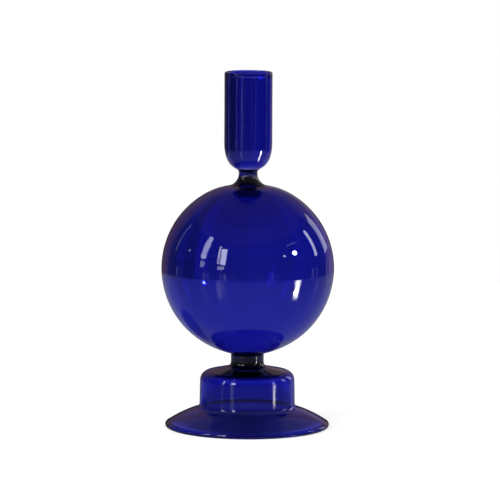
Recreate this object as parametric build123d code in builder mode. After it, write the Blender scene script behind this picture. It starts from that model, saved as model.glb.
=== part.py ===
"""A hand-blown glass candlestick, in millimetres, standing on Z = 0 with its axis on Z.

Six glass sections are fused end to end, from the table up: foot flange, foot drum, base neck,
globe, stem and candle cup.  Each one meets the next on a flat seam of the same radius.
"""
import os
from math import cos, radians, sin, tan

from build123d import *

os.makedirs("parts", exist_ok=True)

# ---------------------------------------------------------------- foot flange
foot_radius = 44.8          # over the rolled bead at the edge
bead_radius = 1.4           # the rolled bead is round in section
ground_depth = 0.1          # ground off under the bead, which leaves a flat ring to stand on
brim_wall = 1.9
brim_bulge = 0.6            # rise of the brim's back above a straight slope
brim_root_height = 10.9     # where the brim's slope would meet the drum
throat_radius = 3.0         # inside curve between the brim and the drum
flange_height = 13.2

# ---------------------------------------------------------------- foot drum
drum_base_radius = 26.05
drum_top_radius = 25.75     # the wall leans in a little towards the shoulder
drum_height = 19.8          # seam to seam
drum_wall = 1.8
shoulder_slope = 12.0       # degrees that the top of the drum falls away from its seam
shoulder_radius = 5.3       # outside curve between the top and the wall

# ---------------------------------------------------------------- base neck, solid
base_neck_radius = 9.0
base_neck_straight = 3.7
base_neck_foot_radius = 11.2    # at its seam with the drum
base_neck_head_radius = 10.0    # at its seam with the globe

# ---------------------------------------------------------------- globe, a sealed bubble
globe_radius = 47.0
globe_wall = 1.4
globe_base_start = 35.0     # degrees from the lower pole where the flatter base starts
globe_base_slope = 14.0     # degrees that the base rises outwards at its seam with the neck
globe_cap_start = 30.0      # degrees from the upper pole where the flatter cap starts
globe_cap_slope = 9.0       # degrees that the cap still falls at its seam with the stem

# ---------------------------------------------------------------- stem, solid
stem_radius = 5.05
stem_foot_radius = 11.1     # at its seam with the globe
stem_head_radius = 6.5      # at its seam with the cup
stem_head_slope = 26.0      # degrees that the glass rises outwards at that seam

# ---------------------------------------------------------------- candle cup
bore_radius = 11.5          # clearance on a 22 mm candle
cup_wall = 1.5
cup_knuckle_radius = 11.6   # where the tight curve of the bottom meets the slow one
cup_knuckle_slope = 70.0    # degrees that the glass rises outwards there
cup_straight = 39.2         # parallel part of the cup, up to the lip
lip_round = 0.7             # fire-polished edge


def turn_rise(run, first_slope, last_slope):
    """Rise of a circular arc that moves outwards by run while it turns between two slopes."""
    return run * tan(radians((first_slope + last_slope) / 2))


# ---------------------------------------------------------------- heights, from the table up
drum_top = flange_height + drum_height
base_neck_waist_low = drum_top + turn_rise(base_neck_foot_radius - base_neck_radius, shoulder_slope, 90)
base_neck_waist_high = base_neck_waist_low + base_neck_straight
globe_bottom = base_neck_waist_high + turn_rise(
    base_neck_head_radius - base_neck_radius, 90, globe_base_slope
)
base_start_radius = globe_radius * sin(radians(globe_base_start))
globe_height = (
    globe_bottom
    + turn_rise(base_start_radius - base_neck_head_radius, globe_base_slope, globe_base_start)
    + globe_radius * cos(radians(globe_base_start))
)
cap_start_radius = globe_radius * sin(radians(globe_cap_start))
globe_top = (
    globe_height
    + globe_radius * cos(radians(globe_cap_start))
    + turn_rise(cap_start_radius - stem_foot_radius, globe_cap_start, globe_cap_slope)
)
stem_waist = globe_top + turn_rise(stem_foot_radius - stem_radius, globe_cap_slope, 90)
stem_top = stem_waist + turn_rise(stem_head_radius - stem_radius, 90, stem_head_slope)
cup_radius = bore_radius + cup_wall
cup_knuckle_height = stem_top + turn_rise(
    cup_knuckle_radius - stem_head_radius, stem_head_slope, cup_knuckle_slope
)
cup_bottom_top = cup_knuckle_height + turn_rise(cup_radius - cup_knuckle_radius, cup_knuckle_slope, 90)
rim_height = cup_bottom_top + cup_straight

# ---------------------------------------------------------------- foot flange
bead_centre = (foot_radius - bead_radius, bead_radius - ground_depth)
brim_end = (bead_centre[0] + bead_radius * sin(radians(30)), bead_centre[1] + bead_radius * cos(radians(30)))
brim_root = (drum_base_radius, brim_root_height)

with BuildPart() as foot_flange:
    with BuildSketch(Plane.XZ):
        with BuildLine() as brim:
            Line((drum_base_radius, flange_height), brim_root)
            SagittaArc(brim_root, brim_end, -brim_bulge)
            fillet(brim.vertices().sort_by_distance(brim_root)[0], throat_radius)
            offset(amount=brim_wall, side=Side.RIGHT, closed=True)
        make_face()
        with Locations(bead_centre):
            Circle(bead_radius)
    revolve(axis=Axis.Z)
    split(bisect_by=Plane.XY, keep=Keep.TOP)
foot_flange.part.label = "foot_flange"
export_step(foot_flange.part, "parts/foot_flange.step")

# ---------------------------------------------------------------- foot drum
shoulder_drop = (drum_top_radius - base_neck_foot_radius) * tan(radians(shoulder_slope))
shoulder_corner = (drum_top_radius, drum_top - shoulder_drop)

with BuildPart() as foot_drum:
    with BuildSketch(Plane.XZ) as drum_section:
        with BuildLine():
            Polyline(
                (0, flange_height),
                (drum_base_radius, flange_height),
                shoulder_corner,
                (base_neck_foot_radius, drum_top),
                (0, drum_top),
                close=True,
            )
        make_face()
        fillet(drum_section.vertices().sort_by_distance(shoulder_corner)[0], shoulder_radius)
    revolve(axis=Axis.Z)
    offset(amount=-drum_wall, openings=foot_drum.faces().sort_by(Axis.Z)[0])
foot_drum.part.label = "foot_drum"
export_step(foot_drum.part, "parts/foot_drum.step")

# ---------------------------------------------------------------- base neck
with BuildPart() as base_neck:
    with BuildSketch(Plane.XZ):
        with BuildLine():
            foot = Line((0, drum_top), (base_neck_foot_radius, drum_top))
            waist = Line((base_neck_radius, base_neck_waist_low), (base_neck_radius, base_neck_waist_high))
            head = Line((base_neck_head_radius, globe_bottom), (0, globe_bottom))
            TangentArc(waist @ 0, foot @ 1, tangent=-(waist % 0))
            TangentArc(waist @ 1, head @ 0, tangent=waist % 1)
            Line(head @ 1, foot @ 0)
        make_face()
    revolve(axis=Axis.Z)
base_neck.part.label = "base_neck"
export_step(base_neck.part, "parts/base_neck.step")

# ---------------------------------------------------------------- globe
with BuildPart() as globe:
    with BuildSketch(Plane.XZ):
        with BuildLine():
            round_side = CenterArc(
                (0, globe_height),
                globe_radius,
                start_angle=globe_base_start - 90,
                arc_size=180 - globe_base_start - globe_cap_start,
            )
            bottom = Line((0, globe_bottom), (base_neck_head_radius, globe_bottom))
            TangentArc(round_side @ 0, bottom @ 1, tangent=-(round_side % 0))
            cap = TangentArc(round_side @ 1, (stem_foot_radius, globe_top), tangent=round_side % 1)
            top = Line(cap @ 1, (0, globe_top))
            Line(top @ 1, bottom @ 0)
        make_face()
    revolve(axis=Axis.Z)
    offset(amount=-globe_wall, mode=Mode.SUBTRACT)
globe.part.label = "globe"
export_step(globe.part, "parts/globe.step")

# ---------------------------------------------------------------- stem
with BuildPart() as stem:
    with BuildSketch(Plane.XZ):
        with BuildLine():
            waist_point = (stem_radius, stem_waist)
            foot = Line((0, globe_top), (stem_foot_radius, globe_top))
            head = Line((stem_head_radius, stem_top), (0, stem_top))
            TangentArc(waist_point, foot @ 1, tangent=(0, -1))
            TangentArc(waist_point, head @ 0, tangent=(0, 1))
            Line(head @ 1, foot @ 0)
        make_face()
    revolve(axis=Axis.Z)
stem.part.label = "stem"
export_step(stem.part, "parts/stem.step")

# ---------------------------------------------------------------- candle cup
with BuildPart() as candle_cup:
    with BuildSketch(Plane.XZ):
        with BuildLine():
            knuckle = (cup_knuckle_radius, cup_knuckle_height)
            side = Line((cup_radius, rim_height), (cup_radius, cup_bottom_top))
            slow_curve = TangentArc(side @ 1, knuckle, tangent=side % 1)
            TangentArc(knuckle, (stem_head_radius, stem_top), tangent=slow_curve % 1)
            Polyline((stem_head_radius, stem_top), (0, stem_top), (0, rim_height), side @ 0)
        make_face()
    revolve(axis=Axis.Z)
    offset(amount=-cup_wall, openings=candle_cup.faces().sort_by(Axis.Z)[-1])
    fillet(candle_cup.faces().sort_by(Axis.Z)[-1].edges(), lip_round)
candle_cup.part.label = "candle_cup"
export_step(candle_cup.part, "parts/candle_cup.step")
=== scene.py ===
"""Glass candlestick: the looks of six fused sections of cobalt-blue blown glass, and a plain studio."""
from math import acos, atan2, ceil, cos, degrees, exp, pi, radians, sin, tan

import bmesh
import bpy
from bpy.props import FloatProperty, FloatVectorProperty, IntProperty, PointerProperty
from mathutils import Matrix, Quaternion, Vector


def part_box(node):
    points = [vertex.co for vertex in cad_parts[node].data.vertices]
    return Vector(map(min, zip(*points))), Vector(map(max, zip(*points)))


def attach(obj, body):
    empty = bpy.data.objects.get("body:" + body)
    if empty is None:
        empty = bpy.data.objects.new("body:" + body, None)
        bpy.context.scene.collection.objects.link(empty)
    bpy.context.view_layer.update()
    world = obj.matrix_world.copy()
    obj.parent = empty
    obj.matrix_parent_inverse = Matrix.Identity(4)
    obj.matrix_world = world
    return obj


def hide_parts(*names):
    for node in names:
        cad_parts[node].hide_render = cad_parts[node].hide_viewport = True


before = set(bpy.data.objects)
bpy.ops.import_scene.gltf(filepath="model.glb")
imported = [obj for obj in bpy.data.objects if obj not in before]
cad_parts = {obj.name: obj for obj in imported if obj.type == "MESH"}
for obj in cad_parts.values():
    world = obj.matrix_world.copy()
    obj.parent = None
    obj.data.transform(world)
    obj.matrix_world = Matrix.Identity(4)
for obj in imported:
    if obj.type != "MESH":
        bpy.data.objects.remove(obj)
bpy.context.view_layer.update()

bl_info = {
    "name": "Blown Glass Candlestick",
    "version": (1, 0, 0),
    "blender": (4, 5, 0),
    "location": "View3D > Sidebar > Candlestick",
    "description": "Turns the sections of a blown glass candlestick and sets up a studio around it",
    "category": "Object",
}

MM = 0.001

# Meshes
POINT_SPACING = 0.9 * MM       # along an outline
BEND_STEP = 1.5                # degrees of a bend for each point
END_STEP = 0.02 * MM           # first and last step of a stretch, which keeps the normals there true
STRAIGHT = 1e-6                # an arc that turns by less is a straight line
SAME_POINT = 0.001 * MM        # points nearer than this are one
SEAM_GAP = 0.01 * MM           # left between two fused sections, so that each one is a closed solid
SEAM_TOLERANCE = 0.0005 * MM   # faces this near to a seam's level are its own
NO_SEAM = (-1.0, 0.0)          # a level that no part of the piece is at, and its slope
SHARP = radians(35)            # edges that turn by more than this are corners
STILL_FOOT = 12 * MM           # the waves grow to their full height over this, so the foot stands flat
SEED = 7

# Glass and studio
GLASS_IOR = 1.47               # borosilicate glass
LACQUER_IOR = 1.5
GLOBE_MIDDLE = 87 * MM         # height that the lamps are aimed at
LAMP_DISTANCE = 2.6            # from there
LAMP_IN_GLASS = 3.0            # how many times as bright a lamp is through glass
BOARD_GLOW = 0.62              # added to the board's own white for the camera
BOARD_RADIUS = 0.56
BOARD_CENTRE = (0, 0.062, 0)   # a little behind the object
ROOM_RADIUS = 3.0
ROOM_FLOOR, ROOM_CEILING = -1.5, 2.5
WALL_GAP = 0.1                 # from the room's own wall to the walls and frames in front of it
WALL_FACET = 5                 # degrees round the room
BOUNCES = 32                   # a ray crosses up to a dozen walls of glass


# ---------- helpers

def linear(hex_colour):
    """An sRGB hex colour as linear red, green and blue."""
    values = [int(hex_colour[k:k + 2], 16) / 255 for k in (1, 3, 5)]
    return [v / 12.92 if v <= 0.04045 else ((v + 0.055) / 1.055) ** 2.4 for v in values]


def length(name, description, millimetres):
    """A setting for a length, given in millimetres."""
    return FloatProperty(name=name, description=description, default=millimetres * MM, min=0, unit="LENGTH")


def angle(name, description, in_degrees):
    """A setting for an angle, given in degrees."""
    return FloatProperty(name=name, description=description, default=radians(in_degrees), subtype="ANGLE")


def add_node(tree, kind, inputs=None, **settings):
    """Adds a node. Each input is given a value, or is linked from an output or from a node's first one."""
    node = tree.nodes.new(kind)
    node.location.x = 180 * len(tree.nodes)
    for key, value in settings.items():
        setattr(node, key, value)
    for key, value in (inputs or {}).items():
        if isinstance(value, bpy.types.Node):
            value = value.outputs[0]
        if isinstance(value, bpy.types.NodeSocket):
            tree.links.new(value, node.inputs[key])
        else:
            node.inputs[key].default_value = value
    return node


def empty_tree(owner):
    """The node tree of a material, a lamp or a world, with nothing in it yet."""
    owner.use_nodes = True
    owner.node_tree.nodes.clear()
    return owner.node_tree


# ---------- outlines

class Outline:
    """Half a section through a turned piece, drawn as a walk with the glass on the left.

    Points are (radius, height) in metres. Each stretch leaves in the direction that the last one
    arrived in, unless face() turns the walk on the spot.
    """

    def __init__(self, radius, height):
        self.heading = 0.0
        self.points = [Vector((radius, height))]
        self.stretches = []

    def face(self, heading):
        """Turns the walk on the spot, to an angle above outwards."""
        self.heading = heading
        return self

    def arc_to(self, radius, height):
        """An arc to this point, or a straight line if the walk already faces it."""
        start = self.points[-1]
        chord = Vector((radius, height)) - start
        half_turn = (atan2(chord.y, chord.x) - self.heading + pi) % (2 * pi) - pi
        steps = max(2, ceil(chord.length / POINT_SPACING), ceil(abs(degrees(half_turn)) / BEND_STEP))
        short = min(END_STEP / chord.length, 0.5 / steps)
        stretch = []
        for share in [0, short] + [k / steps for k in range(1, steps)] + [1 - short, 1]:
            point = start + arc_step(chord, self.heading, half_turn, share)
            stretch.append((point, self.heading + 2 * half_turn * share, share))
        self.points += [point for point, _, _ in stretch[1:]]
        self.stretches.append(stretch)
        self.heading += 2 * half_turn
        return self

    def line_to(self, radius, height):
        """A straight stretch, after turning on the spot."""
        chord = Vector((radius, height)) - self.points[-1]
        return self.face(atan2(chord.y, chord.x)).arc_to(radius, height)

    def cap_to(self, radius, height):
        """The face of a seam, which needs no points of its own."""
        self.points.append(Vector((radius, height)))
        return self

    def level_to_axis(self):
        """One bend that arrives level at the axis."""
        end = self.points[-1]
        slope = (pi - self.heading) % (2 * pi)
        slope = slope - 2 * pi if slope > pi else slope
        return self.arc_to(0, end.y + turn_rise(end.x, slope, 0))

    def turn(self, radius, by):
        """A round bend of this radius, to the left for a positive angle."""
        side = 1 if by > 0 else -1
        centre = self.points[-1] + side * radius * across(self.heading)
        end = centre - side * radius * across(self.heading + by)
        return self.arc_to(end.x, end.y)

    def back_along(self, stretches, walls):
        """Returns along earlier stretches on their glass side. Walls gives the thickness at each end."""
        for stretch, first, last in reversed(list(zip(stretches, walls, walls[1:]))):
            for point, heading, share in reversed(stretch):
                wall = first + (last - first) * share * share * (3 - 2 * share)
                self.points.append(point + wall * across(heading))
            self.heading = stretch[0][1] + pi
        return self


def arc_step(chord, heading, half_turn, share):
    """How far along an arc over this chord a share of its turn leads."""
    if abs(half_turn) < STRAIGHT:
        return share * chord
    part = half_turn * share
    reach = chord.length * sin(part) / sin(half_turn)
    return reach * Vector((cos(heading + part), sin(heading + part)))


def across(heading):
    """The direction to the left of a heading."""
    return Vector((-sin(heading), cos(heading)))


def turn_rise(run, first_slope, last_slope):
    """Rise of an arc that moves outwards by run while it turns between two slopes."""
    return run * tan((first_slope + last_slope) / 2)


def seam_levels(node):
    """Where a section starts and ends, half a seam's gap inside its neighbours."""
    low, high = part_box(node)
    return low.z + SEAM_GAP / 2, high.z - SEAM_GAP / 2


# ---------- sizes

class FootSizes(bpy.types.PropertyGroup):
    bead: length("Bead", "Radius of the rolled bead at the edge of the foot", 1.4)
    ground: length("Ground depth", "Glass ground off under the bead, where it stands", 0.1)
    bead_web: length("Bead web", "Radius of the hollow between the bead and the underside", 1.0)
    brim_wall: length("Brim wall", "Thickness of the flared brim", 1.5)
    brim_bulge: length("Brim bulge", "Rise of the brim's back above a straight slope", 0.6)
    brim_root: length("Brim root", "Height at which the brim would meet the drum", 10.9)
    throat: length("Throat", "Radius between the brim and the drum", 3.0)
    drum_top: length("Drum top", "Radius of the drum at its top", 25.75)
    drum_wall: length("Drum wall", "Thickness of the drum", 1.5)
    drum_top_wall: length("Drum top wall", "Thickness of the drum's top at the neck", 2.4)
    shoulder: length("Shoulder", "Radius between the drum's wall and its top", 5.3)
    shoulder_slope: angle("Shoulder slope", "Angle at which the drum's top falls away", 12)


class NeckSizes(bpy.types.PropertyGroup):
    base_waist: length("Base waist", "Radius of the neck under the globe", 9.0)
    base_straight: length("Base straight", "Length of that neck's parallel part", 3.7)
    base_head: length("Base head", "Radius at the seam with the globe", 10.0)
    base_dish: length("Base dish", "How far the bottom of the globe sinks into that neck", 1.0)
    stem_waist: length("Stem waist", "Radius of the stem over the globe", 5.05)
    stem_head: length("Stem head", "Radius at the seam with the cup", 6.5)
    stem_dish: length("Stem dish", "How far the bottom of the cup sinks into the stem", 2.0)
    stem_head_slope: angle("Stem head slope", "Angle at which the stem opens into the cup", 26)


class GlobeSizes(bpy.types.PropertyGroup):
    wall: length("Wall", "Thickness of the blown bubble at its base", 1.3)
    cap_wall: length("Cap wall", "Thickness where the flatter cap starts", 1.5)
    floor: length("Floor", "Thickness at the seam with the neck", 0.9)
    roof: length("Roof", "Thickness at the seam with the stem", 1.4)
    base_start: angle("Base start", "Angle from the lower pole where the flatter base starts", 35)
    base_slope: angle("Base slope", "Angle at which the base rises at its seam with the neck", 14)
    drip: length("Drip", "Depth of the ring of glass that hangs inside, under the stem", 5)
    drip_radius: length("Drip radius", "Radius of that ring", 5.6)
    drip_width: length("Drip width", "Half the width of that ring", 1.5)
    cap_start: angle("Cap start", "Angle from the upper pole where the flatter cap starts", 30)
    cap_slope: angle("Cap slope", "Angle at which the cap falls at its seam with the stem", 9)


class CupSizes(bpy.types.PropertyGroup):
    wall: length("Wall", "Thickness of the candle cup", 1.65)
    bottom_wall: length("Bottom wall", "Thickness at the knuckle", 1.5)
    floor: length("Floor", "Thickness at the seam with the stem", 0.4)
    lip: length("Lip", "Radius of the bead that the flame rounds the lip into", 1.1)
    knuckle: length("Knuckle", "Radius where the tight curve of the bottom meets the slow one", 11.6)
    knuckle_slope: angle("Knuckle slope", "Angle at which the glass rises there", 70)
    straight: length("Straight", "Length of the parallel part, up to the lip", 39.2)


class GlassFinish(bpy.types.PropertyGroup):
    colour: FloatVectorProperty(
        name="Colour", description="Light that the glass lets through", subtype="COLOR",
        size=3, min=0, max=1, default=linear("#5D6CE7"),
    )
    density: FloatProperty(
        name="Density", description="Absorption for each metre of blown glass", default=2000, min=0,
    )
    drawn_density: FloatProperty(
        name="Drawn density", description="Absorption for each metre of the solid necks", default=1300, min=0,
    )
    segments: IntProperty(name="Segments", description="Facets around the axis", default=240, min=12)
    waviness: length("Waviness", "Height of the waves left by hand forming", 0.08)
    wave_length: length("Wave length", "Size of those waves", 30)
    line_height: length("Line height", "Depth of the lines along the cup's drawn tube", 0.02)
    lines_around: FloatProperty(
        name="Lines around", description="How many of those lines go round the tube", default=60, min=1,
    )


class StudioSettings(bpy.types.PropertyGroup):
    camera_distance: length("Camera distance", "From the axis, along the floor", 2150)
    camera_height: length("Camera height", "Above the floor", 360)
    aim_height: length("Aim height", "Point of the axis at the middle of the picture", 97)
    aside: length("Camera aside", "Sideways offset of the camera", 1.2)
    roll: angle("Camera roll", "Tilt of the picture, clockwise", 0.25)
    lens: FloatProperty(
        name="Lens", description="Focal length of the camera", default=286.6, min=1, unit="CAMERA",
    )


# ---------- the lathe

def lathe_tree():
    """Geometry Nodes that turn outlines around the axis, mark the seams and add waves and lines."""
    tree = bpy.data.node_groups.new("lathe", "GeometryNodeTree")
    sockets = (
        ("Outline", "Geometry"), ("Segments", "Int"), ("Low Seam", "Float"), ("Low Seam Slope", "Float"),
        ("High Seam", "Float"), ("High Seam Slope", "Float"), ("Waviness", "Float"),
        ("Wave Length", "Float"), ("Line Height", "Float"), ("Lines Around", "Float"), ("Seed", "Int"),
        ("Glass", "Material"),
    )
    for name, kind in sockets:
        tree.interface.new_socket(name, in_out="INPUT", socket_type="NodeSocket" + kind)
    tree.interface.new_socket("Piece", in_out="OUTPUT", socket_type="NodeSocketGeometry")
    sizes = add_node(tree, "NodeGroupInput").outputs

    # A profile swung round a circle lies in its own XY plane, measured from the circle.
    swing = 0.1
    point = add_node(tree, "GeometryNodeInputPosition")
    place = add_node(tree, "ShaderNodeSeparateXYZ", {0: point}).outputs
    from_circle = add_node(tree, "ShaderNodeMath", {0: place["X"], 1: swing}, operation="SUBTRACT")
    downwards = add_node(tree, "ShaderNodeMath", {0: place["Z"], 1: -1.0}, operation="MULTIPLY")
    laid_flat = add_node(tree, "ShaderNodeCombineXYZ", {"X": from_circle, "Y": downwards})
    profile = add_node(tree, "GeometryNodeSetPosition", {"Geometry": sizes["Outline"], "Position": laid_flat})
    circle = add_node(
        tree, "GeometryNodeCurvePrimitiveCircle", {"Resolution": sizes["Segments"], "Radius": swing}
    )
    upright = add_node(tree, "GeometryNodeSetCurveNormal", {"Curve": circle}, mode="Z_UP")
    turned = add_node(tree, "GeometryNodeCurveToMesh", {"Curve": upright, "Profile Curve": profile})
    outwards = add_node(tree, "GeometryNodeFlipFaces", {"Mesh": turned})
    closed = add_node(tree, "GeometryNodeMergeByDistance", {"Geometry": outwards, "Distance": SAME_POINT})
    piece = mark_seams(tree, closed, sizes)
    piece = make_waves(tree, piece, sizes)
    piece = draw_lines(tree, piece, sizes)
    piece = smooth_between_corners(tree, piece)
    real = add_node(tree, "GeometryNodeRealizeInstances", {"Geometry": piece})
    glass = add_node(tree, "GeometryNodeSetMaterial", {"Geometry": real, "Material": sizes["Glass"]})
    add_node(tree, "NodeGroupOutput", {"Piece": glass})
    return tree


def smooth_between_corners(tree, piece):
    """Shades the glass smooth, but for corners and the rims of seams, where seam is between 0 and 1."""
    smooth = add_node(
        tree, "GeometryNodeSetShadeSmooth", {"Geometry": piece, "Shade Smooth": True}, domain="FACE"
    )
    corner = add_node(tree, "GeometryNodeInputMeshEdgeAngle")
    is_corner = add_node(
        tree, "FunctionNodeCompare", {"A": corner, "B": SHARP}, data_type="FLOAT", operation="GREATER_THAN"
    )
    seam = add_node(tree, "GeometryNodeInputNamedAttribute", {"Name": "seam"}, data_type="FLOAT")
    is_seam_edge = add_node(
        tree, "FunctionNodeCompare", {"A": seam, "B": 0.5, "Epsilon": 0.25},
        data_type="FLOAT", operation="EQUAL",
    )
    is_sharp = add_node(tree, "FunctionNodeBooleanMath", {0: is_corner, 1: is_seam_edge}, operation="OR")
    return add_node(
        tree, "GeometryNodeSetShadeSmooth",
        {"Geometry": smooth, "Selection": is_sharp, "Shade Smooth": False}, domain="EDGE",
    )


def mark_seams(tree, piece, sizes):
    """Stores 1 on the flat or dished faces of the two seams, and 0 elsewhere, as the face attribute seam."""
    place = add_node(tree, "GeometryNodeInputPosition")
    height = add_node(tree, "ShaderNodeSeparateXYZ", {0: place}).outputs["Z"]
    sideways = add_node(tree, "ShaderNodeVectorMath", {0: place, 1: (1, 1, 0)}, operation="MULTIPLY")
    reach = add_node(tree, "ShaderNodeVectorMath", {0: sideways}, operation="LENGTH")
    at_seam = []
    for name in ("Low Seam", "High Seam"):
        level = add_node(
            tree, "ShaderNodeMath", {0: reach.outputs["Value"], 1: sizes[name + " Slope"], 2: sizes[name]},
            operation="MULTIPLY_ADD",
        )
        at_seam.append(add_node(
            tree, "FunctionNodeCompare", {"A": height, "B": level, "Epsilon": SEAM_TOLERANCE},
            data_type="FLOAT", operation="EQUAL",
        ))
    either = add_node(tree, "FunctionNodeBooleanMath", {0: at_seam[0], 1: at_seam[1]}, operation="OR")
    return add_node(
        tree, "GeometryNodeStoreNamedAttribute",
        {"Geometry": piece, "Name": "seam", "Value": either}, data_type="FLOAT", domain="FACE",
    )


def make_waves(tree, piece, sizes):
    """Moves the surface a little in long waves that are the same on both sides of a seam.

    The noise lies between 0 and 1, so each shift is twice its distance from the middle, times the
    waviness.
    """
    place = add_node(tree, "GeometryNodeInputPosition")
    pitch = add_node(tree, "ShaderNodeMath", {0: 1.0, 1: sizes["Wave Length"]}, operation="DIVIDE")
    noise = add_node(
        tree, "ShaderNodeTexNoise", {"Vector": place, "W": sizes["Seed"], "Scale": pitch, "Detail": 1.0},
        noise_dimensions="4D",
    )
    centred = add_node(
        tree, "ShaderNodeVectorMath", {0: noise.outputs["Color"], 1: (0.5, 0.5, 0.5)}, operation="SUBTRACT"
    )
    height = add_node(tree, "ShaderNodeSeparateXYZ", {0: place}).outputs["Z"]
    off_ground = add_node(
        tree, "ShaderNodeMapRange",
        {"Value": height, "From Max": STILL_FOOT, "To Max": 2.0}, interpolation_type="SMOOTHSTEP",
    )
    amount = add_node(tree, "ShaderNodeMath", {0: off_ground, 1: sizes["Waviness"]}, operation="MULTIPLY")
    shift = add_node(tree, "ShaderNodeVectorMath", {0: centred, "Scale": amount}, operation="SCALE")
    return add_node(tree, "GeometryNodeSetPosition", {"Geometry": piece, "Offset": shift})


def draw_lines(tree, piece, sizes):
    """Raises faint lines along the axis, as tube drawn from a furnace has, other ones on each side."""
    place = add_node(tree, "GeometryNodeInputPosition")
    sideways = add_node(tree, "ShaderNodeVectorMath", {0: place, 1: (1, 1, 0)}, operation="MULTIPLY")
    outwards = add_node(tree, "ShaderNodeVectorMath", {0: sideways}, operation="NORMALIZE")
    radius = add_node(tree, "ShaderNodeVectorMath", {0: sideways}, operation="LENGTH")
    layer = add_node(tree, "ShaderNodeMath", {0: radius.outputs["Value"], 1: 1 / MM}, operation="MULTIPLY")
    pitch = add_node(tree, "ShaderNodeMath", {0: sizes["Lines Around"], 1: 2 * pi}, operation="DIVIDE")
    noise = add_node(
        tree, "ShaderNodeTexNoise", {"Vector": outwards, "W": layer, "Scale": pitch, "Detail": 2.0},
        noise_dimensions="4D",
    )
    amount = add_node(
        tree, "ShaderNodeMapRange",
        {"Value": noise.outputs["Fac"], "From Min": 0.25, "From Max": 0.75, "To Max": sizes["Line Height"]},
        clamp=False,
    )
    shift = add_node(tree, "ShaderNodeVectorMath", {0: outwards, "Scale": amount}, operation="SCALE")
    return add_node(tree, "GeometryNodeSetPosition", {"Geometry": piece, "Offset": shift})


def turn_piece(node, outlines, low_seam=NO_SEAM, high_seam=NO_SEAM, lines=False, solid=False):
    """Turns outlines into the mesh that stands for a CAD node.

    Each seam is its height at the axis and the slope at which it rises outwards.
    """
    scene = bpy.context.scene
    curve = bpy.data.curves.new(node + "_outline", "CURVE")
    curve.dimensions = "3D"
    for outline in outlines:
        first, last = outline.points[0], outline.points[-1]
        is_loop = (first - last).length < SAME_POINT
        points = outline.points[:-1] if is_loop else outline.points
        spline = curve.splines.new("POLY")
        spline.points.add(len(points) - 1)
        spline.use_cyclic_u = is_loop
        for spot, point in zip(spline.points, points):
            spot.co = (point.x, 0, point.y, 1)
    drawn = bpy.data.objects.new(curve.name, curve)
    scene.collection.objects.link(drawn)

    finish = scene.glass_finish
    values = {
        "Segments": finish.segments,
        "Low Seam": low_seam[0], "Low Seam Slope": low_seam[1],
        "High Seam": high_seam[0], "High Seam Slope": high_seam[1],
        "Waviness": finish.waviness, "Wave Length": finish.wave_length,
        "Line Height": finish.line_height if lines else 0.0, "Lines Around": finish.lines_around,
        "Seed": SEED,
        "Glass": drawn_cobalt_glass(finish) if solid else blown_cobalt_glass(finish),
    }
    tree = bpy.data.node_groups.get("lathe") or lathe_tree()
    lathe = drawn.modifiers.new("Lathe", "NODES")
    lathe.node_group = tree
    for socket in tree.interface.items_tree:
        if socket.name in values:
            lathe[socket.identifier] = values[socket.name]
    graph = bpy.context.evaluated_depsgraph_get()
    mesh = bpy.data.meshes.new_from_object(drawn.evaluated_get(graph), depsgraph=graph)
    drawn.modifiers.remove(lathe)
    bpy.data.objects.remove(drawn)

    mesh.name = node + "_glass"
    piece = bpy.data.objects.new(mesh.name, mesh)
    scene.collection.objects.link(piece)
    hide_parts(node)
    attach(piece, "root")


# ---------- materials

def blown_cobalt_glass(finish):
    """Cobalt-blue borosilicate glass, blown thin and fire-polished.

    The colour is in the glass, not on it, so a thin wall is a clear royal blue that deepens where the
    wall is seen edge on. The surface is as smooth as a liquid's.
    """
    return cobalt_glass("blown_cobalt_glass", finish.colour, finish.density)


def drawn_cobalt_glass(finish):
    """The same glass drawn from a paler rod, for the solid necks, which are a very dark navy."""
    return cobalt_glass("drawn_cobalt_glass", finish.colour, finish.drawn_density)


def cobalt_glass(name, colour, density):
    """Clear coloured glass. A seam between two fused sections neither bends nor reflects light, so the
    index there is that of air.
    """
    if name in bpy.data.materials:
        return bpy.data.materials[name]
    material = bpy.data.materials.new(name)
    tree = empty_tree(material)
    seam = add_node(tree, "ShaderNodeAttribute", attribute_name="seam")
    index = add_node(
        tree, "ShaderNodeMapRange", {"Value": seam.outputs["Fac"], "To Min": GLASS_IOR, "To Max": 1.0}
    )
    surface = add_node(
        tree, "ShaderNodeBsdfPrincipled",
        {"Base Color": (1, 1, 1, 1), "Roughness": 0.0, "Transmission Weight": 1.0, "IOR": index},
    )
    inside = add_node(tree, "ShaderNodeVolumeAbsorption", {"Color": (*colour, 1), "Density": density})
    add_node(tree, "ShaderNodeOutputMaterial", {"Surface": surface, "Volume": inside})
    return material


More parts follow.
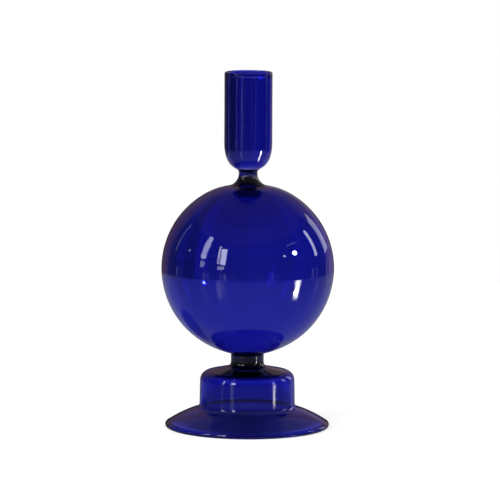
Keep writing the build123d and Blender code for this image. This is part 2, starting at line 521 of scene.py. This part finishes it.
def white_lacquered_board():
    """A round board under the object, lacquered white.

    It is white to the camera, and through glass it glows bright but for a painted shadow of the object, under
    it and behind it. In the glass's reflections it glows with a painted dim tone, as in a room lit by a few
    windows, and its lacquer has a soft sheen that draws every lamp out into a streak, with painted streaks
    added besides.
    """
    material = bpy.data.materials.new("white_lacquered_board")
    tree = empty_tree(material)
    path = add_node(tree, "ShaderNodeLightPath").outputs
    place = add_node(tree, "ShaderNodeTexCoord").outputs["Object"]

    to_camera = add_node(
        tree, "ShaderNodeMath", {0: path["Is Camera Ray"], 1: BOARD_GLOW}, operation="MULTIPLY"
    )
    through = board_through_glass(tree, place)
    strength = add_node(
        tree, "ShaderNodeMath", {0: path["Is Transmission Ray"], 1: through, 2: to_camera},
        operation="MULTIPLY_ADD",
    )
    matt = add_node(tree, "ShaderNodeBsdfDiffuse", {"Color": (*linear("#E7E7E7"), 1)})
    glow = add_node(tree, "ShaderNodeEmission", {"Strength": strength})
    seen = add_node(tree, "ShaderNodeAddShader", {0: matt, 1: glow})

    fresnel = add_node(tree, "ShaderNodeFresnel", {"IOR": LACQUER_IOR})
    # In reflections the board glows with a painted tone instead of being lit.
    dim = add_node(tree, "ShaderNodeEmission", {"Color": board_in_reflections(tree, place, fresnel)})
    sheen = {"Color": (*linear("#7C7C7C"), 1), "Roughness": 0.12}
    shine = add_node(tree, "ShaderNodeBsdfGlossy", sheen)
    reflected = add_node(tree, "ShaderNodeMixShader", {0: fresnel, 1: dim, 2: shine})

    # A ray that smooth glass refracts counts as glossy too, so only the rest are reflections.
    in_reflection = add_node(
        tree, "ShaderNodeMath", {0: path["Is Glossy Ray"], 1: path["Is Transmission Ray"]},
        operation="SUBTRACT",
    )
    surface = add_node(tree, "ShaderNodeMixShader", {0: in_reflection, 1: seen, 2: reflected})
    add_node(tree, "ShaderNodeOutputMaterial", {"Surface": surface})
    return material


def board_through_glass(tree, place):
    """Painted light and shade through glass: full beside the object, less far behind it, least in a painted
    shadow of the object.
    """
    spot = add_node(tree, "ShaderNodeSeparateXYZ", {0: place}).outputs
    depth = spot["Y"]
    # Painted shadows of the object: one to its left behind it, and a deeper one under it and just behind it.
    beside_shade = outside_shade(
        tree, place, centre=(-0.045, 0.2, 0), stretch=(1, 3.6, 1), reach=(0.01, 0.035), inside=0.5
    )
    open_board = outside_shade(
        tree, place, centre=(0, 0.055, 0), stretch=(1, 2.2, 1), reach=(0.038, 0.056), inside=0.18,
        outside=beside_shade,
    )
    # Painted light: the glow is dimmer far behind the object and brighter to both sides.
    falloff = add_node(
        tree, "ShaderNodeMapRange",
        {"Value": depth, "From Min": 0.15, "From Max": 0.55, "To Min": 0.62, "To Max": 0.3},
    )
    well_behind = add_node(tree, "ShaderNodeMath", {0: depth, 1: 0.05}, operation="MAXIMUM")
    sideways = add_node(tree, "ShaderNodeMath", {0: spot["X"], 1: well_behind}, operation="DIVIDE")
    to_the_right = add_node(
        tree, "ShaderNodeMapRange",
        {"Value": sideways, "From Min": 0.04, "From Max": 0.55, "To Min": 1.0, "To Max": 2.1},
    )
    to_the_left = add_node(
        tree, "ShaderNodeMapRange",
        {"Value": sideways, "From Min": -0.1, "From Max": -0.7, "To Min": to_the_right, "To Max": 2.0},
    )
    lit = add_node(tree, "ShaderNodeMath", {0: falloff, 1: to_the_left}, operation="MULTIPLY")
    return add_node(tree, "ShaderNodeMath", {0: open_board, 1: lit}, operation="MULTIPLY")


def board_in_reflections(tree, place, fresnel):
    """The board's painted tone in reflections: bluish in front, paler towards the wall, with a painted shadow
    and the lamps' painted streaks.

    At a grazing angle, where fresnel is high, the streaks begin nearer to the object.
    """
    depth = add_node(tree, "ShaderNodeSeparateXYZ", {0: place}).outputs["Y"]
    # Painted light: the tone grows paler towards the wall.
    towards_wall = add_node(tree, "ShaderNodeMapRange", {"Value": depth, "From Min": 0.0, "From Max": 0.3})
    in_front, at_wall = (*linear("#989DA8"), 1), (*linear("#BCBDC4"), 1)
    tone = add_node(
        tree, "ShaderNodeMix", {0: towards_wall, 6: in_front, 7: at_wall}, data_type="RGBA"
    ).outputs[2]
    # A painted shadow of the object on the board, to its left.
    side_shade = outside_shade(
        tree, place, centre=(-0.085, 0.04, 0), stretch=(1.3, 1, 1), reach=(0.025, 0.042), inside=0.25
    )
    tone = add_node(tree, "ShaderNodeVectorMath", {0: tone, "Scale": side_shade}, operation="SCALE")

    near = add_node(
        tree, "ShaderNodeMapRange",
        {"Value": fresnel, "From Min": 0.15, "From Max": 0.3, "To Min": 0.15, "To Max": 0.115},
    )
    far = add_node(tree, "ShaderNodeMath", {0: near, 1: 0.15}, operation="ADD")
    # Painted reflections of the bulb and a window, as streaks in the lacquer.
    for azimuth, half_width, begins, strength in (
        (70, 0.055, near, 20.0), (70, 0.09, far, 12.0), (-38.5, 0.05, near, 1.0)
    ):
        streak = painted_lamp_streak(tree, place, azimuth, half_width, begins, strength)
        tone = add_node(tree, "ShaderNodeVectorMath", {0: tone, 1: streak}, operation="ADD")
    return tone


def outside_shade(tree, place, centre, stretch, reach, inside, outside=1.0):
    """Is `inside` within a round painted shade, stretched along the board, and `outside` beyond its soft
    edge.
    """
    in_shade = add_node(
        tree, "ShaderNodeMapping", {"Vector": place, "Location": centre, "Scale": stretch},
        vector_type="TEXTURE",
    )
    from_centre = add_node(tree, "ShaderNodeVectorMath", {0: in_shade}, operation="LENGTH")
    return add_node(
        tree, "ShaderNodeMapRange",
        {
            "Value": from_centre.outputs["Value"], "From Min": reach[0], "From Max": reach[1],
            "To Min": inside, "To Max": outside,
        },
        interpolation_type="SMOOTHSTEP",
    )


def painted_lamp_streak(tree, place, azimuth, half_width, begins, strength):
    """A painted reflection: the long streak that a lamp draws towards the object in the lacquer. Its half
    width is a slope.
    """
    beside, along = (
        add_node(
            tree, "ShaderNodeVectorMath", {0: place, 1: tuple(direction(turn, 0))}, operation="DOT_PRODUCT"
        ).outputs["Value"]
        for turn in (azimuth + 90, azimuth)
    )
    past_axis = 0.03 * sin(radians(azimuth / 2))      # the drum's wall mirrors it from off the axis
    aside = add_node(tree, "ShaderNodeMath", {0: beside, 1: past_axis}, operation="ADD")
    slope = add_node(tree, "ShaderNodeMath", {0: aside, 1: along}, operation="DIVIDE")
    off_streak = add_node(tree, "ShaderNodeMath", {0: slope}, operation="ABSOLUTE")
    narrow = add_node(
        tree, "ShaderNodeMapRange",
        {"Value": off_streak, "From Min": 1.3 * half_width, "From Max": 0.7 * half_width},
        interpolation_type="SMOOTHSTEP",
    )
    full = add_node(tree, "ShaderNodeMath", {0: begins, 1: 0.035}, operation="ADD")
    reach = add_node(
        tree, "ShaderNodeMapRange", {"Value": along, "From Min": begins, "From Max": full, "To Max": strength}
    )
    return add_node(tree, "ShaderNodeMath", {0: narrow, 1: reach}, operation="MULTIPLY")


def glowing_room_wall(name, paint, through=None):
    """A wall that glows in place of lit matt paint: its own colour with the room's light painted in, in
    reflections, and through glass a pale grey of the given brightness. That glow is painted darker away from
    the stretch right behind the object and towards the ceiling, a painted shade that gives the glass dark
    outlines.
    """
    material = bpy.data.materials.new(name)
    tree = empty_tree(material)
    path = add_node(tree, "ShaderNodeLightPath").outputs
    place = add_node(tree, "ShaderNodeTexCoord").outputs["Object"]
    where = add_node(tree, "ShaderNodeSeparateXYZ", {0: place}).outputs
    # Painted shade: through glass the glow dims away from behind the object and towards the ceiling.
    behind = add_node(
        tree, "ShaderNodeMapRange", {"Value": where["Y"], "From Min": 0.3, "From Max": 2.0, "To Min": 0.35},
        interpolation_type="SMOOTHSTEP",
    )
    low = add_node(
        tree, "ShaderNodeMapRange", {"Value": where["Z"], "From Min": 1.8, "From Max": 0.9, "To Min": 0.2},
        interpolation_type="SMOOTHSTEP",
    )
    dimming = add_node(tree, "ShaderNodeMath", {0: behind, 1: low}, operation="MULTIPLY")
    reflected = (*paint, 1)
    transmitted = reflected if through is None else (through, through, through, 1)
    pale = add_node(tree, "ShaderNodeMix", {0: dimming, 6: reflected, 7: transmitted}, data_type="RGBA")
    tone = add_node(
        tree, "ShaderNodeMix", {0: path["Is Transmission Ray"], 6: reflected, 7: pale.outputs[2]},
        data_type="RGBA",
    )
    glow = add_node(tree, "ShaderNodeEmission", {"Color": tone.outputs[2]})
    add_node(tree, "ShaderNodeOutputMaterial", {"Surface": glow})
    return material


# ---------- glass sections

class TurnFootFlange(bpy.types.Operator):
    """Turns the flared foot with its rolled bead"""
    bl_idname = "candlestick.turn_foot_flange"
    bl_label = "Foot Flange"

    def execute(self, context):
        sizes = context.scene.foot_sizes
        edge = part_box("foot_flange")[1].x
        wall_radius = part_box("foot_drum")[1].x
        seam = seam_levels("foot_flange")[1]
        bead = sizes.bead
        centre = Vector((edge - bead, bead - sizes.ground))
        ground_angle = acos(centre.y / bead)
        brim_angle = radians(60)      # from outwards up to where the brim leaves the bead
        brim_end = centre + bead * Vector((cos(brim_angle), sin(brim_angle)))

        root = Vector((wall_radius, sizes.brim_root))
        slope_chord = root - brim_end
        chord_heading = atan2(slope_chord.y, slope_chord.x)
        half_turn = 2 * atan2(2 * sizes.brim_bulge, slope_chord.length)
        root_heading = chord_heading + half_turn
        cut = sizes.throat * tan((root_heading - pi / 2) / 2)
        throat_start = root - cut * Vector((cos(root_heading), sin(root_heading)))
        back = chord_heading - half_turn

        hollow = sizes.bead_web
        web_turn = acos((sizes.brim_wall - bead + hollow) / (bead + hollow))
        web_reach = (bead + hollow) * sin(web_turn)
        web = brim_end + web_reach * Vector((cos(back), sin(back)))

        outline = Outline(centre.x - bead * sin(ground_angle), 0)
        outline.line_to(centre.x + bead * sin(ground_angle), 0)
        outline.face(ground_angle).turn(bead, brim_angle + pi / 2 - ground_angle)
        outline.face(back).arc_to(web.x, web.y)
        outline.arc_to(throat_start.x, throat_start.y)
        outline.arc_to(wall_radius, root.y + cut)
        outline.line_to(wall_radius, seam)
        wall = sizes.drum_wall
        outline.cap_to(wall_radius - wall, seam)
        outline.back_along(outline.stretches[-3:], (sizes.brim_wall, sizes.brim_wall, wall, wall))
        outline.turn(hollow, -web_turn)
        first = outline.points[0]
        outline.arc_to(first.x, first.y)
        turn_piece("foot_flange", [outline], high_seam=(seam, 0))
        return {"FINISHED"}


class TurnFootDrum(bpy.types.Operator):
    """Turns the hollow drum between the foot and the neck"""
    bl_idname = "candlestick.turn_foot_drum"
    bl_label = "Foot Drum"

    def execute(self, context):
        sizes = context.scene.foot_sizes
        low, high = seam_levels("foot_drum")
        base_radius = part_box("foot_drum")[1].x
        neck_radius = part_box("base_neck")[1].x
        drop = (sizes.drum_top - neck_radius) * tan(sizes.shoulder_slope)
        corner = Vector((sizes.drum_top, high - drop))
        lean = atan2(corner.y - low, corner.x - base_radius)
        top_heading = pi - sizes.shoulder_slope
        cut = sizes.shoulder * tan((top_heading - lean) / 2)
        wall_end = corner - cut * Vector((cos(lean), sin(lean)))
        top_start = corner + cut * Vector((cos(top_heading), sin(top_heading)))

        outer = Outline(base_radius, low)
        outer.line_to(wall_end.x, wall_end.y).arc_to(top_start.x, top_start.y).line_to(neck_radius, high)
        outer.cap_to(0, high)
        wall, top = sizes.drum_wall, sizes.drum_top_wall
        outline = Outline(0, high - top)
        outline.back_along(outer.stretches, (wall, wall, wall, top))
        outline.cap_to(base_radius, low)
        outline.points += outer.points[1:]
        turn_piece("foot_drum", [outline], (low, 0), (high, 0))
        return {"FINISHED"}


class TurnNecks(bpy.types.Operator):
    """Turns the two solid necks under and over the globe"""
    bl_idname = "candlestick.turn_necks"
    bl_label = "Necks"

    def execute(self, context):
        sizes = context.scene.neck_sizes
        base = (sizes.base_waist, sizes.base_straight, sizes.base_head, sizes.base_dish)
        stem = (sizes.stem_waist, 0, sizes.stem_head, sizes.stem_dish)
        self.turn_neck("base_neck", context.scene.foot_sizes.shoulder_slope, *base)
        self.turn_neck("stem", context.scene.globe_sizes.cap_slope, *stem)
        return {"FINISHED"}

    def turn_neck(self, node, foot_slope, waist, straight, head, dish):
        """A neck that flares out at both ends, dished at its head for the bubble above it."""
        low, high = seam_levels(node)
        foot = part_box(node)[1].x
        waist_low = low + turn_rise(foot - waist, foot_slope, pi / 2)
        outline = Outline(0, low).cap_to(foot, low)
        outline.face(pi - foot_slope).arc_to(waist, waist_low)
        if straight:
            outline.line_to(waist, waist_low + straight)
        outline.arc_to(head, high).cap_to(0, high - dish)
        turn_piece(node, [outline], (low, 0), (high - dish, dish / head), solid=True)


class TurnGlobe(bpy.types.Operator):
    """Turns the globe, with its sealed bubble"""
    bl_idname = "candlestick.turn_globe"
    bl_label = "Globe"

    def execute(self, context):
        sizes = context.scene.globe_sizes
        necks = context.scene.neck_sizes
        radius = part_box("globe")[1].x
        low, high = seam_levels("globe")
        base = Vector((radius * sin(sizes.base_start), 0))
        base.y = low + turn_rise(base.x - necks.base_head, sizes.base_slope, sizes.base_start)
        centre = base.y + radius * cos(sizes.base_start)
        cap = Vector((radius * sin(sizes.cap_start), centre + radius * cos(sizes.cap_start)))
        stem_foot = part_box("stem")[1].x

        dish = necks.base_dish
        outline = Outline(0, low - dish).cap_to(necks.base_head, low)
        outline.face(sizes.base_slope).arc_to(base.x, base.y).arc_to(cap.x, cap.y).arc_to(stem_foot, high)
        outline.cap_to(0, high)

        # The bubble's roof, from the axis out, with the ring of glass that hangs from it.
        seam_point, heading, _ = outline.stretches[-1][-1]
        top = seam_point + sizes.roof * across(heading)
        crown = top.y + turn_rise(top.x, 0, sizes.cap_slope)
        bubble = Outline(0, crown)
        steps = 40
        for step in range(1, steps + 1):
            share = step / steps
            reach = top.x * share
            drip = sizes.drip * exp(-((reach - sizes.drip_radius) / sizes.drip_width) ** 2)
            bubble.points.append(Vector((reach, crown + (top.y - crown) * share * share - drip)))
        bubble.back_along(outline.stretches, (sizes.floor, sizes.wall, sizes.cap_wall, sizes.roof))
        bubble.level_to_axis()
        turn_piece("globe", [outline, bubble], (low - dish, dish / necks.base_head), (high, 0))
        return {"FINISHED"}


class TurnCup(bpy.types.Operator):
    """Turns the candle cup"""
    bl_idname = "candlestick.turn_cup"
    bl_label = "Candle Cup"

    def execute(self, context):
        sizes = context.scene.cup_sizes
        necks = context.scene.neck_sizes
        low, _ = seam_levels("candle_cup")
        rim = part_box("candle_cup")[1].z
        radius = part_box("candle_cup")[1].x
        foot = necks.stem_head
        bottom_rise = turn_rise(sizes.knuckle - foot, necks.stem_head_slope, sizes.knuckle_slope)
        knuckle = Vector((sizes.knuckle, low + bottom_rise))
        side = rim - sizes.straight
        lip, wall = sizes.lip, sizes.wall
        bead = rim - lip
        under_bead = bead - 2 * lip
        dish = necks.stem_dish
        outline = Outline(0, low - dish).cap_to(foot, low)
        outline.face(necks.stem_head_slope).arc_to(knuckle.x, knuckle.y).arc_to(radius, side)
        outline.face(pi / 2).arc_to(radius, under_bead)
        shell = list(outline.stretches)
        outline.arc_to(radius, bead).turn(lip, pi)
        outline.arc_to(radius - lip - wall / 2, (bead + under_bead) / 2).arc_to(radius - wall, under_bead)
        outline.back_along(shell, (sizes.floor, sizes.bottom_wall, wall, wall)).level_to_axis()
        turn_piece("candle_cup", [outline], low_seam=(low - dish, dish / foot), lines=True)
        return {"FINISHED"}


# ---------- studio

def direction(azimuth, elevation):
    """A unit vector from the object, in degrees to the right of the camera's side and above level."""
    turn, rise = radians(azimuth), radians(elevation)
    return Vector((sin(turn) * cos(rise), -cos(turn) * cos(rise), sin(rise)))


def add_lamp(name, azimuth, elevation, width, height, radiance, shape="RECTANGLE"):
    """A flat soft lamp, sized in degrees as the globe sees it.

    It is brighter through glass, but casts no bright patches on the board through it.
    """
    lamp = bpy.data.lights.new(name, "AREA")
    lamp.shape = shape
    lamp.size = 2 * LAMP_DISTANCE * tan(radians(width / 2))
    lamp.size_y = 2 * LAMP_DISTANCE * tan(radians(height / 2))
    area = lamp.size * lamp.size_y * (pi / 4 if shape == "DISK" else 1)
    lamp.energy = radiance * pi * area
    tree = empty_tree(lamp)
    path = add_node(tree, "ShaderNodeLightPath").outputs
    boost = add_node(
        tree, "ShaderNodeMapRange",
        {"Value": path["Is Transmission Ray"], "To Min": 1.0, "To Max": LAMP_IN_GLASS},
    )
    strength = add_node(
        tree, "ShaderNodeMapRange",
        {"Value": path["Diffuse Depth"], "From Max": 1.0, "To Min": boost, "To Max": 0.0},
    )
    glow = add_node(tree, "ShaderNodeEmission", {"Strength": strength})
    add_node(tree, "ShaderNodeOutputLight", {"Surface": glow})
    holder = bpy.data.objects.new(name, lamp)
    aim = direction(azimuth, elevation)
    holder.location = Vector((0, 0, GLOBE_MIDDLE)) + LAMP_DISTANCE * aim
    holder.rotation_euler = aim.to_track_quat("Z", "Y").to_euler()
    bpy.context.scene.collection.objects.link(holder)


def add_stage_mesh(name, build, material):
    """A part of the studio, whose mesh the given function builds."""
    mesh = bpy.data.meshes.new(name)
    form = bmesh.new()
    build(form)
    form.to_mesh(mesh)
    form.free()
    mesh.materials.append(material)
    stage = bpy.data.objects.new(name, mesh)
    bpy.context.scene.collection.objects.link(stage)
    return stage


def add_room_mesh(name, build, paint, through=None):
    """A glowing part of the room, its lit colour painted in, which only glass shows, and which sheds no light
    and casts no shadow.
    """
    stage = add_stage_mesh(name, build, glowing_room_wall(name + "_paint", linear(paint), through))
    stage.visible_camera = False
    stage.visible_diffuse = False
    stage.visible_shadow = False
    return stage


def add_wall(name, start, end, low, high, paint, through=None):
    """A stretch of wall between two azimuths and two heights. It is seen through glass only if through
    says how bright.
    """
    def build(form):
        steps = ceil((end - start) / WALL_FACET)
        rims = []
        for k in range(steps + 1):
            spot = (ROOM_RADIUS - WALL_GAP) * direction(start + (end - start) * k / steps, 0)
            rims.append([form.verts.new((spot.x, spot.y, height)) for height in (low, high)])
        for (a, b), (d, c) in zip(rims, rims[1:]):
            form.faces.new((a, b, c, d))
    wall = add_room_mesh(name, build, paint, through)
    wall.visible_transmission = through is not None


class SetUpStudio(bpy.types.Operator):
    """Sets up the table, the room that the glass reflects, the lamps, the world and the camera"""
    bl_idname = "candlestick.set_up_studio"
    bl_label = "Studio"

    def execute(self, context):
        scene = context.scene
        self.add_table()
        self.add_room()
        self.add_lamps()
        self.light_world(scene)
        self.add_camera(scene, scene.studio_settings)
        scene.view_settings.view_transform = "Standard"
        for kind in ("max_bounces", "glossy_bounces", "transmission_bounces", "transparent_max_bounces"):
            setattr(scene.cycles, kind, BOUNCES)
        scene.cycles.sample_clamp_indirect = 0
        return {"FINISHED"}

    def add_table(self):
        def build(form):
            bmesh.ops.create_circle(
                form, cap_ends=True, segments=128, radius=BOARD_RADIUS,
                matrix=Matrix.Translation(BOARD_CENTRE),
            )
        add_stage_mesh("table", build, white_lacquered_board())

    def add_room(self):
        def build_room(form):
            bmesh.ops.create_cone(
                form, cap_ends=True, segments=96, radius1=ROOM_RADIUS, radius2=ROOM_RADIUS,
                depth=ROOM_CEILING - ROOM_FLOOR,
                matrix=Matrix.Translation((0, 0, (ROOM_FLOOR + ROOM_CEILING) / 2)),
            )
            bmesh.ops.reverse_faces(form, faces=form.faces)
        add_room_mesh("room", build_room, "#454D52", 0.62)
        inset = 0.01

        def build_ceiling(form):
            bmesh.ops.create_circle(
                form, cap_ends=True, segments=96, radius=ROOM_RADIUS - inset,
                matrix=Matrix.Translation((0, 0, ROOM_CEILING - inset)),
            )
        add_room_mesh("ceiling", build_ceiling, "#696165", 0.3)

        # Behind the object: name, first and last azimuth, two heights, paint, brightness through glass.
        # The lit and shaded paints are one wall colour with painted light and painted shade.
        lit, shaded, gap = "#95818E", "#735D6F", "#303038"
        floor, sill, rail, top = -1, 0.35, 0.9, 2.4
        add_wall("right_wall", 130, 162, floor, rail, lit, 1.6)
        for name, start, end, through in (
            ("right_corner", 162, 172, 1.0), ("right_door", 172, 178, 0.85), ("middle_wall", 178, 180, 0.68),
            ("middle_door", 180, 181.7, 0.6), ("pale_frame", 181.7, 182.5, 0.75),
            ("dark_gap", 182.5, 183.5, 0.4), ("left_door", 183.5, 185, 0.55), ("doorway", 185, 198, 0.26),
        ):
            add_wall(name, start, end, floor, sill, gap, through)
        add_wall("left_wall", 198, 228, floor, rail, shaded, 0.34)
        add_wall("right_wall_middle", 162, 182, sill, rail, lit, 0.7)
        add_wall("left_wall_middle", 182, 198, sill, rail, shaded, 0.3)
        add_wall("right_wall_top", 130, 182, rail, top, "#7C6C79", 0.6)
        add_wall("left_wall_top", 182, 228, rail, top, "#7C697C", 0.3)

        # Pale uprights all round that glow with painted light, for reflections only: azimuth, width in
        # degrees, paint.
        frames = (
            (-108, 3, "#B3B3B3"), (-101, 2, "#898989"), (-60, 3.5, "#CBCBCB"), (-54, 3, "#AAAAAA"),
            (-36, 3, "#B3B3B3"), (-30, 4.5, "#E1E1E1"), (-18, 4, "#7C7C7C"), (15, 6, "#6C6C6C"),
            (33, 3.5, "#AAAAAA"), (40, 2, "#898989"), (96, 4, "#BCBCBC"), (104, 3, "#A0A0A0"),
            (130, 3, "#BCBCBC"), (143, 5, "#CBCBCB"),
        )
        for number, (azimuth, width, paint) in enumerate(frames):
            add_wall(f"door_frame_{number}", azimuth - width / 2, azimuth + width / 2, -0.7, 0.05, paint)

    def add_lamps(self):
        # Name, azimuth, elevation, width, height, radiance.
        for lamp in (
            ("window_left_pane", -40.6, 22, 3.0, 22, 8), ("window_right_pane", -33.6, 20, 7.4, 20, 10.5),
            ("window_sill_pane", -36, 5.7, 9, 4.5, 4), ("side_window", -63.5, 27, 8, 26, 6.5),
            ("side_window_low", -63, 8, 6.5, 7, 3), ("far_window", -117.5, 20.5, 3, 23, 0.6),
            ("bulb", 70, 20, 4.2, 4.2, 5500, "DISK"), ("small_lamp_left", -90, 17, 3, 2.5, 4),
            ("small_lamp_right", 53, 19, 3, 2.5, 8), ("shelf_light", 71, 30, 18, 1.2, 1.5),
            ("right_window", 107.5, 19.5, 6, 23, 5.5), ("back_right_window", 136.3, 15.5, 12, 23, 1.6),
        ):
            add_lamp(*lamp)
        bpy.data.objects["bulb"].visible_diffuse = False

    def light_world(self, scene):
        """White to the camera and in glass, and half as bright where it lights the table."""
        scene.world = bpy.data.worlds.new("pale_studio")
        tree = empty_tree(scene.world)
        path = add_node(tree, "ShaderNodeLightPath").outputs
        in_glass = add_node(
            tree, "ShaderNodeMath", {0: path["Is Glossy Ray"], 1: path["Is Transmission Ray"]},
            operation="MAXIMUM",
        )
        seen = add_node(tree, "ShaderNodeMath", {0: path["Is Camera Ray"], 1: in_glass}, operation="MAXIMUM")
        direct = add_node(tree, "ShaderNodeMath", {0: seen, 1: path["Diffuse Depth"]}, operation="SUBTRACT")
        strength = add_node(tree, "ShaderNodeMapRange", {"Value": direct, "To Min": 0.5, "To Max": 1.0})
        sky = add_node(tree, "ShaderNodeBackground", {"Color": (1, 1, 1, 1), "Strength": strength})
        add_node(tree, "ShaderNodeOutputWorld", {"Surface": sky})

    def add_camera(self, scene, settings):
        camera = bpy.data.cameras.new("camera")
        camera.lens = settings.lens
        camera.sensor_width = 36      # mm
        holder = bpy.data.objects.new("camera", camera)
        holder.location = (settings.aside, -settings.camera_distance, settings.camera_height)
        aim = Vector((settings.aside, 0, settings.aim_height)) - holder.location
        upright = aim.to_track_quat("-Z", "Y")
        holder.rotation_euler = (upright @ Quaternion((0, 0, 1), settings.roll)).to_euler()
        scene.collection.objects.link(holder)
        scene.camera = holder


# ---------- panel

class CandlestickPanel(bpy.types.Panel):
    bl_idname = "VIEW3D_PT_candlestick"
    bl_label = "Candlestick"
    bl_space_type = "VIEW_3D"
    bl_region_type = "UI"
    bl_category = "Candlestick"

    def draw(self, context):
        scene = context.scene
        rows = (
            (TurnFootFlange, scene.foot_sizes), (TurnFootDrum, None), (TurnNecks, scene.neck_sizes),
            (TurnGlobe, scene.globe_sizes), (TurnCup, scene.cup_sizes), (SetUpStudio, scene.studio_settings),
            (None, scene.glass_finish),
        )
        for operator, sizes in rows:
            box = self.layout.box()
            for name in sizes.__annotations__ if sizes else ():
                box.prop(sizes, name)
            if operator:
                box.operator(operator.bl_idname)


OPERATORS = (TurnFootFlange, TurnFootDrum, TurnNecks, TurnGlobe, TurnCup, SetUpStudio)
SETTINGS = {
    "foot_sizes": FootSizes, "neck_sizes": NeckSizes, "globe_sizes": GlobeSizes, "cup_sizes": CupSizes,
    "glass_finish": GlassFinish, "studio_settings": StudioSettings,
}


def register():
    for kind in (*SETTINGS.values(), *OPERATORS, CandlestickPanel):
        bpy.utils.register_class(kind)
    for name, kind in SETTINGS.items():
        setattr(bpy.types.Scene, name, PointerProperty(type=kind))


def unregister():
    for name in SETTINGS:
        delattr(bpy.types.Scene, name)
    for kind in (CandlestickPanel, *OPERATORS, *reversed(SETTINGS.values())):
        bpy.utils.unregister_class(kind)


def main():
    register()
    bpy.ops.candlestick.turn_foot_flange()
    bpy.ops.candlestick.turn_foot_drum()
    bpy.ops.candlestick.turn_necks()
    bpy.ops.candlestick.turn_globe()
    bpy.ops.candlestick.turn_cup()
    bpy.ops.candlestick.set_up_studio()


if __name__ == "__main__":
    main()
